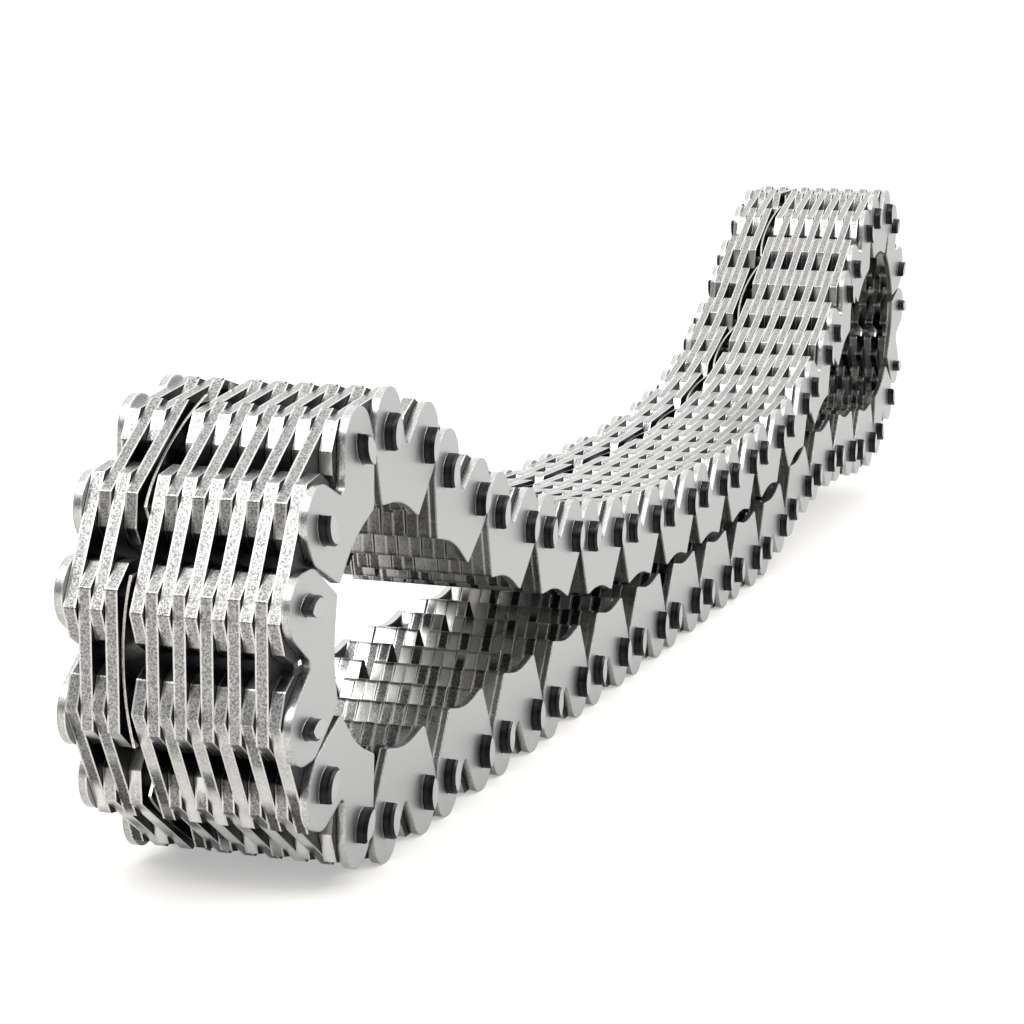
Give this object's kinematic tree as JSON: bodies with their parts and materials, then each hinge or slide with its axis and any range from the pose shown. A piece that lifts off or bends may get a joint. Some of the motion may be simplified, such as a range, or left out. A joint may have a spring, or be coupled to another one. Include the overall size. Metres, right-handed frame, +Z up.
{
  "type": "silent chain",
  "caption": "Endless inverted-tooth chain of laced steel plates on rocker pins, standing as a flattened loop; its toothed inside meshes with sprockets.",
  "frame": {"origin": "floor level, in the middle of the loop's length and width", "axes": "+X along the floor run from the near loop to the far loop, +Y along the pins, +Z up"},
  "size_m": [0.3144, 0.0264, 0.0578],
  "materials": {
    "guide_plate_steel": "satin, tumbled",
    "toothed_plate_steel": "blanked edges, oiled",
    "spring_steel": "cold rolled, bright",
    "pin_steel": "ground, bright",
    "guide_link_steel": "satin, tumbled",
    "inner_link_steel": "blanked edges, oiled"
  },
  "bodies": {
    "floor_run": {"floor_guide_plates": "guide_plate_steel", "floor_guide_link_plates": "toothed_plate_steel", "floor_inner_link_plates": "toothed_plate_steel", "floor_leaf_springs": "spring_steel", "floor_guide_pins": "pin_steel", "floor_rocker_pins": "pin_steel"},
    "guide_link_01": {"guide_link_01": "guide_link_steel"},
    "inner_link_01": {"inner_link_01": "inner_link_steel"},
    "guide_link_02": {"guide_link_02": "guide_link_steel"},
    "inner_link_02": {"inner_link_02": "inner_link_steel"},
    "guide_link_03": {"guide_link_03": "guide_link_steel"},
    "inner_link_03": {"inner_link_03": "inner_link_steel"},
    "guide_link_04": {"guide_link_04": "guide_link_steel"},
    "inner_link_04": {"inner_link_04": "inner_link_steel"},
    "guide_link_05": {"guide_link_05": "guide_link_steel"},
    "inner_link_05": {"inner_link_05": "inner_link_steel"},
    "guide_link_06": {"guide_link_06": "guide_link_steel"},
    "inner_link_06": {"inner_link_06": "inner_link_steel"},
    "guide_link_07": {"guide_link_07": "guide_link_steel"},
    "inner_link_07": {"inner_link_07": "inner_link_steel"},
    "guide_link_08": {"guide_link_08": "guide_link_steel"},
    "inner_link_08": {"inner_link_08": "inner_link_steel"},
    "guide_link_09": {"guide_link_09": "guide_link_steel"},
    "inner_link_09": {"inner_link_09": "inner_link_steel"},
    "guide_link_10": {"guide_link_10": "guide_link_steel"},
    "inner_link_10": {"inner_link_10": "inner_link_steel"},
    "guide_link_11": {"guide_link_11": "guide_link_steel"},
    "inner_link_11": {"inner_link_11": "inner_link_steel"},
    "guide_link_12": {"guide_link_12": "guide_link_steel"},
    "inner_link_12": {"inner_link_12": "inner_link_steel"},
    "guide_link_13": {"guide_link_13": "guide_link_steel"},
    "inner_link_13": {"inner_link_13": "inner_link_steel"},
    "guide_link_14": {"guide_link_14": "guide_link_steel"},
    "inner_link_14": {"inner_link_14": "inner_link_steel"},
    "guide_link_15": {"guide_link_15": "guide_link_steel"},
    "inner_link_15": {"inner_link_15": "inner_link_steel"},
    "guide_link_16": {"guide_link_16": "guide_link_steel"},
    "inner_link_16": {"inner_link_16": "inner_link_steel"},
    "guide_link_17": {"guide_link_17": "guide_link_steel"},
    "inner_link_17": {"inner_link_17": "inner_link_steel"},
    "guide_link_18": {"guide_link_18": "guide_link_steel"},
    "inner_link_18": {"inner_link_18": "inner_link_steel"},
    "guide_link_19": {"guide_link_19": "guide_link_steel"},
    "inner_link_19": {"inner_link_19": "inner_link_steel"},
    "guide_link_20": {"guide_link_20": "guide_link_steel"},
    "inner_link_20": {"inner_link_20": "inner_link_steel"},
    "guide_link_21": {"guide_link_21": "guide_link_steel"},
    "inner_link_21": {"inner_link_21": "inner_link_steel"},
    "guide_link_22": {"guide_link_22": "guide_link_steel"},
    "inner_link_22": {"inner_link_22": "inner_link_steel"},
    "guide_link_23": {"guide_link_23": "guide_link_steel"},
    "inner_link_23": {"inner_link_23": "inner_link_steel"},
    "guide_link_24": {"guide_link_24": "guide_link_steel"},
    "inner_link_24": {"inner_link_24": "inner_link_steel"},
    "guide_link_25": {"guide_link_25": "guide_link_steel"},
    "inner_link_25": {"inner_link_25": "inner_link_steel"},
    "guide_link_26": {"guide_link_26": "guide_link_steel"},
    "inner_link_26": {"inner_link_26": "inner_link_steel"},
    "guide_link_27": {"guide_link_27": "guide_link_steel"},
    "inner_link_27": {"inner_link_27": "inner_link_steel"}
  },
  "joints": [
    {"name": "joint_01", "type": "hinge", "parent": "floor_run", "child": "guide_link_01", "pos_m": [-0.12068, 0, 0.00452], "axis": [0, 1, 0], "range_deg": [0, 1.67]},
    {"name": "joint_02", "type": "hinge", "parent": "guide_link_01", "child": "inner_link_01", "pos_m": [-0.1302, 0, 0.00452], "axis": [0, 1, 0], "range_deg": [-6.11, 0]},
    {"name": "joint_03", "type": "hinge", "parent": "inner_link_01", "child": "guide_link_02", "pos_m": [-0.1395, 0, 0.00656], "axis": [0, 1, 0], "range_deg": [-10.86, 0]},
    {"name": "joint_04", "type": "hinge", "parent": "guide_link_02", "child": "inner_link_02", "pos_m": [-0.14745, 0, 0.01181], "axis": [0, 1, 0], "range_deg": [-11.6, 0]},
    {"name": "joint_05", "type": "hinge", "parent": "inner_link_02", "child": "guide_link_03", "pos_m": [-0.1523, 0, 0.02001], "axis": [0, 1, 0], "range_deg": [-9.92, 0]},
    {"name": "joint_06", "type": "hinge", "parent": "guide_link_03", "child": "inner_link_03", "pos_m": [-0.15258, 0, 0.02953], "axis": [0, 1, 0], "range_deg": [-7.88, 0]},
    {"name": "joint_07", "type": "hinge", "parent": "inner_link_03", "child": "guide_link_04", "pos_m": [-0.14811, 0, 0.03794], "axis": [0, 1, 0], "range_deg": [-6.59, 0]},
    {"name": "joint_08", "type": "hinge", "parent": "guide_link_04", "child": "inner_link_04", "pos_m": [-0.14014, 0, 0.04315], "axis": [0, 1, 0], "range_deg": [-5.59, 0]},
    {"name": "joint_09", "type": "hinge", "parent": "inner_link_04", "child": "guide_link_05", "pos_m": [-0.13068, 0, 0.04433], "axis": [0, 1, 0], "range_deg": [-3.12, 0]},
    {"name": "joint_10", "type": "hinge", "parent": "guide_link_05", "child": "inner_link_05", "pos_m": [-0.12144, 0, 0.04205], "axis": [0, 1, 0], "range_deg": [0, 2.49]},
    {"name": "joint_11", "type": "hinge", "parent": "inner_link_05", "child": "guide_link_06", "pos_m": [-0.1129, 0, 0.03783], "axis": [0, 1, 0], "range_deg": [0, 9.61]},
    {"name": "joint_12", "type": "hinge", "parent": "guide_link_06", "child": "inner_link_06", "pos_m": [-0.10414, 0, 0.03409], "axis": [0, 1, 0], "range_deg": [0, 11.3]},
    {"name": "joint_13", "type": "hinge", "parent": "inner_link_06", "child": "guide_link_07", "pos_m": [-0.09519, 0, 0.03083], "axis": [0, 1, 0], "range_deg": [0, 10.03]},
    {"name": "joint_14", "type": "hinge", "parent": "guide_link_07", "child": "inner_link_07", "pos_m": [-0.08608, 0, 0.02805], "axis": [0, 1, 0], "range_deg": [0, 7.91]},
    {"name": "joint_15", "type": "hinge", "parent": "inner_link_07", "child": "guide_link_08", "pos_m": [-0.07684, 0, 0.02573], "axis": [0, 1, 0], "range_deg": [0, 5.83]},
    {"name": "joint_16", "type": "hinge", "parent": "guide_link_08", "child": "inner_link_08", "pos_m": [-0.0675, 0, 0.02386], "axis": [0, 1, 0], "range_deg": [0, 4.04]},
    {"name": "joint_17", "type": "hinge", "parent": "inner_link_08", "child": "guide_link_09", "pos_m": [-0.05809, 0, 0.02239], "axis": [0, 1, 0], "range_deg": [0, 2.62]},
    {"name": "joint_18", "type": "hinge", "parent": "guide_link_09", "child": "inner_link_09", "pos_m": [-0.04863, 0, 0.0213], "axis": [0, 1, 0], "range_deg": [0, 1.61]},
    {"name": "joint_19", "type": "hinge", "parent": "inner_link_09", "child": "guide_link_10", "pos_m": [-0.03913, 0, 0.02052], "axis": [0, 1, 0], "range_deg": [0, 1.07]},
    {"name": "joint_20", "type": "hinge", "parent": "guide_link_10", "child": "inner_link_10", "pos_m": [-0.02962, 0, 0.02002], "axis": [0, 1, 0], "range_deg": [0, 0.802]},
    {"name": "joint_21", "type": "hinge", "parent": "inner_link_10", "child": "guide_link_11", "pos_m": [-0.0201, 0, 0.01974], "axis": [0, 1, 0], "range_deg": [-0.802, 0]},
    {"name": "joint_22", "type": "hinge", "parent": "guide_link_11", "child": "inner_link_11", "pos_m": [-0.01058, 0, 0.01961], "axis": [0, 1, 0], "range_deg": [-1.13, 0]},
    {"name": "joint_23", "type": "hinge", "parent": "inner_link_11", "child": "guide_link_12", "pos_m": [-0.00105, 0, 0.01958], "axis": [0, 1, 0], "range_deg": [-1.25, 0]},
    {"name": "joint_24", "type": "hinge", "parent": "guide_link_12", "child": "inner_link_12", "pos_m": [0.00847, 0, 0.01958], "axis": [0, 1, 0], "range_deg": [-1.14, 0]},
    {"name": "joint_25", "type": "hinge", "parent": "inner_link_12", "child": "guide_link_13", "pos_m": [0.018, 0, 0.01979], "axis": [0, 1, 0], "range_deg": [-1.32, 0]},
    {"name": "joint_26", "type": "hinge", "parent": "guide_link_13", "child": "inner_link_13", "pos_m": [0.02751, 0, 0.0202], "axis": [0, 1, 0], "range_deg": [-1.6, 0]},
    {"name": "joint_27", "type": "hinge", "parent": "inner_link_13", "child": "guide_link_14", "pos_m": [0.03702, 0, 0.02083], "axis": [0, 1, 0], "range_deg": [-1.62, 0]},
    {"name": "joint_55", "type": "hinge", "parent": "floor_run", "child": "inner_link_27", "pos_m": [0.03172, 0, 0.00452], "axis": [0, -1, 0], "range_deg": [0, 2.81]},
    {"name": "joint_54", "type": "hinge", "parent": "inner_link_27", "child": "guide_link_27", "pos_m": [0.04124, 0, 0.00502], "axis": [0, -1, 0], "range_deg": [0, 2.31]},
    {"name": "joint_53", "type": "hinge", "parent": "guide_link_27", "child": "inner_link_26", "pos_m": [0.05064, 0, 0.00651], "axis": [0, -1, 0], "range_deg": [0, 4.09]},
    {"name": "joint_52", "type": "hinge", "parent": "inner_link_26", "child": "guide_link_26", "pos_m": [0.05996, 0, 0.00849], "axis": [0, -1, 0], "range_deg": [0, 6.88]},
    {"name": "joint_51", "type": "hinge", "parent": "guide_link_26", "child": "inner_link_25", "pos_m": [0.06931, 0, 0.01029], "axis": [0, -1, 0], "range_deg": [0, 8.8]},
    {"name": "joint_50", "type": "hinge", "parent": "inner_link_25", "child": "guide_link_25", "pos_m": [0.07875, 0, 0.0116], "axis": [0, -1, 0], "range_deg": [0, 9.61]},
    {"name": "joint_49", "type": "hinge", "parent": "guide_link_25", "child": "inner_link_24", "pos_m": [0.08825, 0, 0.01224], "axis": [0, -1, 0], "range_deg": [0, 9.37]},
    {"name": "joint_48", "type": "hinge", "parent": "inner_link_24", "child": "guide_link_24", "pos_m": [0.09778, 0, 0.01221], "axis": [0, -1, 0], "range_deg": [0, 8.07]},
    {"name": "joint_47", "type": "hinge", "parent": "guide_link_24", "child": "inner_link_23", "pos_m": [0.10729, 0, 0.01167], "axis": [0, -1, 0], "range_deg": [0, 5.45]},
    {"name": "joint_46", "type": "hinge", "parent": "inner_link_23", "child": "guide_link_23", "pos_m": [0.11678, 0, 0.01096], "axis": [0, -1, 0], "range_deg": [0, 0.802]},
    {"name": "joint_45", "type": "hinge", "parent": "guide_link_23", "child": "inner_link_22", "pos_m": [0.12631, 0, 0.01086], "axis": [0, -1, 0], "range_deg": [-5.53, 0]},
    {"name": "joint_44", "type": "hinge", "parent": "inner_link_22", "child": "guide_link_22", "pos_m": [0.13568, 0, 0.01256], "axis": [0, -1, 0], "range_deg": [-11.19, 0]},
    {"name": "joint_43", "type": "hinge", "parent": "guide_link_22", "child": "inner_link_21", "pos_m": [0.14413, 0, 0.01696], "axis": [0, -1, 0], "range_deg": [-14.36, 0]},
    {"name": "joint_42", "type": "hinge", "parent": "inner_link_21", "child": "guide_link_21", "pos_m": [0.15024, 0, 0.02426], "axis": [0, -1, 0], "range_deg": [-14.17, 0]},
    {"name": "joint_41", "type": "hinge", "parent": "guide_link_21", "child": "inner_link_20", "pos_m": [0.15251, 0, 0.03351], "axis": [0, -1, 0], "range_deg": [-11.26, 0]},
    {"name": "joint_40", "type": "hinge", "parent": "inner_link_20", "child": "guide_link_20", "pos_m": [0.15014, 0, 0.04274], "axis": [0, -1, 0], "range_deg": [-7.37, 0]},
    {"name": "joint_39", "type": "hinge", "parent": "guide_link_20", "child": "inner_link_19", "pos_m": [0.1437, 0, 0.04976], "axis": [0, -1, 0], "range_deg": [-4.01, 0]},
    {"name": "joint_38", "type": "hinge", "parent": "inner_link_19", "child": "guide_link_19", "pos_m": [0.13483, 0, 0.05321], "axis": [0, -1, 0], "range_deg": [-1.47, 0]},
    {"name": "joint_37", "type": "hinge", "parent": "guide_link_19", "child": "inner_link_18", "pos_m": [0.1253, 0, 0.05301], "axis": [0, -1, 0], "range_deg": [0, 0.802]},
    {"name": "joint_36", "type": "hinge", "parent": "inner_link_18", "child": "guide_link_18", "pos_m": [0.11627, 0, 0.04998], "axis": [0, -1, 0], "range_deg": [0, 2.13]},
    {"name": "joint_35", "type": "hinge", "parent": "guide_link_18", "child": "inner_link_17", "pos_m": [0.10797, 0, 0.04531], "axis": [0, -1, 0], "range_deg": [0, 3.8]},
    {"name": "joint_34", "type": "hinge", "parent": "inner_link_17", "child": "guide_link_17", "pos_m": [0.09999, 0, 0.04011], "axis": [0, -1, 0], "range_deg": [0, 4.92]},
    {"name": "joint_33", "type": "hinge", "parent": "guide_link_17", "child": "inner_link_16", "pos_m": [0.09179, 0, 0.03526], "axis": [0, -1, 0], "range_deg": [0, 4.4]},
    {"name": "joint_32", "type": "hinge", "parent": "inner_link_16", "child": "guide_link_16", "pos_m": [0.08327, 0, 0.031], "axis": [0, -1, 0], "range_deg": [0, 3.23]},
    {"name": "joint_31", "type": "hinge", "parent": "guide_link_16", "child": "inner_link_15", "pos_m": [0.07442, 0, 0.02749], "axis": [0, -1, 0], "range_deg": [0, 2.1]},
    {"name": "joint_30", "type": "hinge", "parent": "inner_link_15", "child": "guide_link_15", "pos_m": [0.06528, 0, 0.02479], "axis": [0, -1, 0], "range_deg": [0, 1.32]},
    {"name": "joint_29", "type": "hinge", "parent": "guide_link_15", "child": "inner_link_14", "pos_m": [0.05595, 0, 0.02289], "axis": [0, -1, 0], "range_deg": [0, 0.802]}
  ],
  "couplings": [
    {"joint": "joint_01", "follows": "joint_55", "ratio": 0.5961},
    {"joint": "joint_02", "follows": "joint_55", "ratio": -2.179},
    {"joint": "joint_03", "follows": "joint_55", "ratio": -3.8691},
    {"joint": "joint_04", "follows": "joint_55", "ratio": -4.1331},
    {"joint": "joint_05", "follows": "joint_55", "ratio": -3.5342},
    {"joint": "joint_06", "follows": "joint_55", "ratio": -2.8094},
    {"joint": "joint_07", "follows": "joint_55", "ratio": -2.3491},
    {"joint": "joint_08", "follows": "joint_55", "ratio": -1.9916},
    {"joint": "joint_09", "follows": "joint_55", "ratio": -1.1126},
    {"joint": "joint_10", "follows": "joint_55", "ratio": 0.88588},
    {"joint": "joint_11", "follows": "joint_55", "ratio": 3.4254},
    {"joint": "joint_12", "follows": "joint_55", "ratio": 4.0289},
    {"joint": "joint_13", "follows": "joint_55", "ratio": 3.5744},
    {"joint": "joint_14", "follows": "joint_55", "ratio": 2.82},
    {"joint": "joint_15", "follows": "joint_55", "ratio": 2.0766},
    {"joint": "joint_16", "follows": "joint_55", "ratio": 1.4401},
    {"joint": "joint_17", "follows": "joint_55", "ratio": 0.93429},
    {"joint": "joint_18", "follows": "joint_55", "ratio": 0.57362},
    {"joint": "joint_19", "follows": "joint_55", "ratio": 0.3804},
    {"joint": "joint_20", "follows": "joint_55", "ratio": 0.28519},
    {"joint": "joint_21", "follows": "joint_55", "ratio": -0.28519},
    {"joint": "joint_22", "follows": "joint_55", "ratio": -0.40037},
    {"joint": "joint_23", "follows": "joint_55", "ratio": -0.44337},
    {"joint": "joint_24", "follows": "joint_55", "ratio": -0.40691},
    {"joint": "joint_25", "follows": "joint_55", "ratio": -0.47048},
    {"joint": "joint_26", "follows": "joint_55", "ratio": -0.57002},
    {"joint": "joint_27", "follows": "joint_55", "ratio": -0.57705},
    {"joint": "joint_54", "follows": "joint_55", "ratio": 0.82128},
    {"joint": "joint_53", "follows": "joint_55", "ratio": 1.4577},
    {"joint": "joint_52", "follows": "joint_55", "ratio": 2.4521},
    {"joint": "joint_51", "follows": "joint_55", "ratio": 3.135},
    {"joint": "joint_50", "follows": "joint_55", "ratio": 3.426},
    {"joint": "joint_49", "follows": "joint_55", "ratio": 3.3403},
    {"joint": "joint_48", "follows": "joint_55", "ratio": 2.8769},
    {"joint": "joint_47", "follows": "joint_55", "ratio": 1.9413},
    {"joint": "joint_46", "follows": "joint_55", "ratio": 0.28519},
    {"joint": "joint_45", "follows": "joint_55", "ratio": -1.9693},
    {"joint": "joint_44", "follows": "joint_55", "ratio": -3.9874},
    {"joint": "joint_43", "follows": "joint_55", "ratio": -5.1171},
    {"joint": "joint_42", "follows": "joint_55", "ratio": -5.0508},
    {"joint": "joint_41", "follows": "joint_55", "ratio": -4.0124},
    {"joint": "joint_40", "follows": "joint_55", "ratio": -2.6255},
    {"joint": "joint_39", "follows": "joint_55", "ratio": -1.4292},
    {"joint": "joint_38", "follows": "joint_55", "ratio": -0.52215},
    {"joint": "joint_37", "follows": "joint_55", "ratio": 0.28519},
    {"joint": "joint_36", "follows": "joint_55", "ratio": 0.75782},
    {"joint": "joint_35", "follows": "joint_55", "ratio": 1.3556},
    {"joint": "joint_34", "follows": "joint_55", "ratio": 1.7525},
    {"joint": "joint_33", "follows": "joint_55", "ratio": 1.5693},
    {"joint": "joint_32", "follows": "joint_55", "ratio": 1.1509},
    {"joint": "joint_31", "follows": "joint_55", "ratio": 0.74852},
    {"joint": "joint_30", "follows": "joint_55", "ratio": 0.46887},
    {"joint": "joint_29", "follows": "joint_55", "ratio": 0.28519}
  ]
}
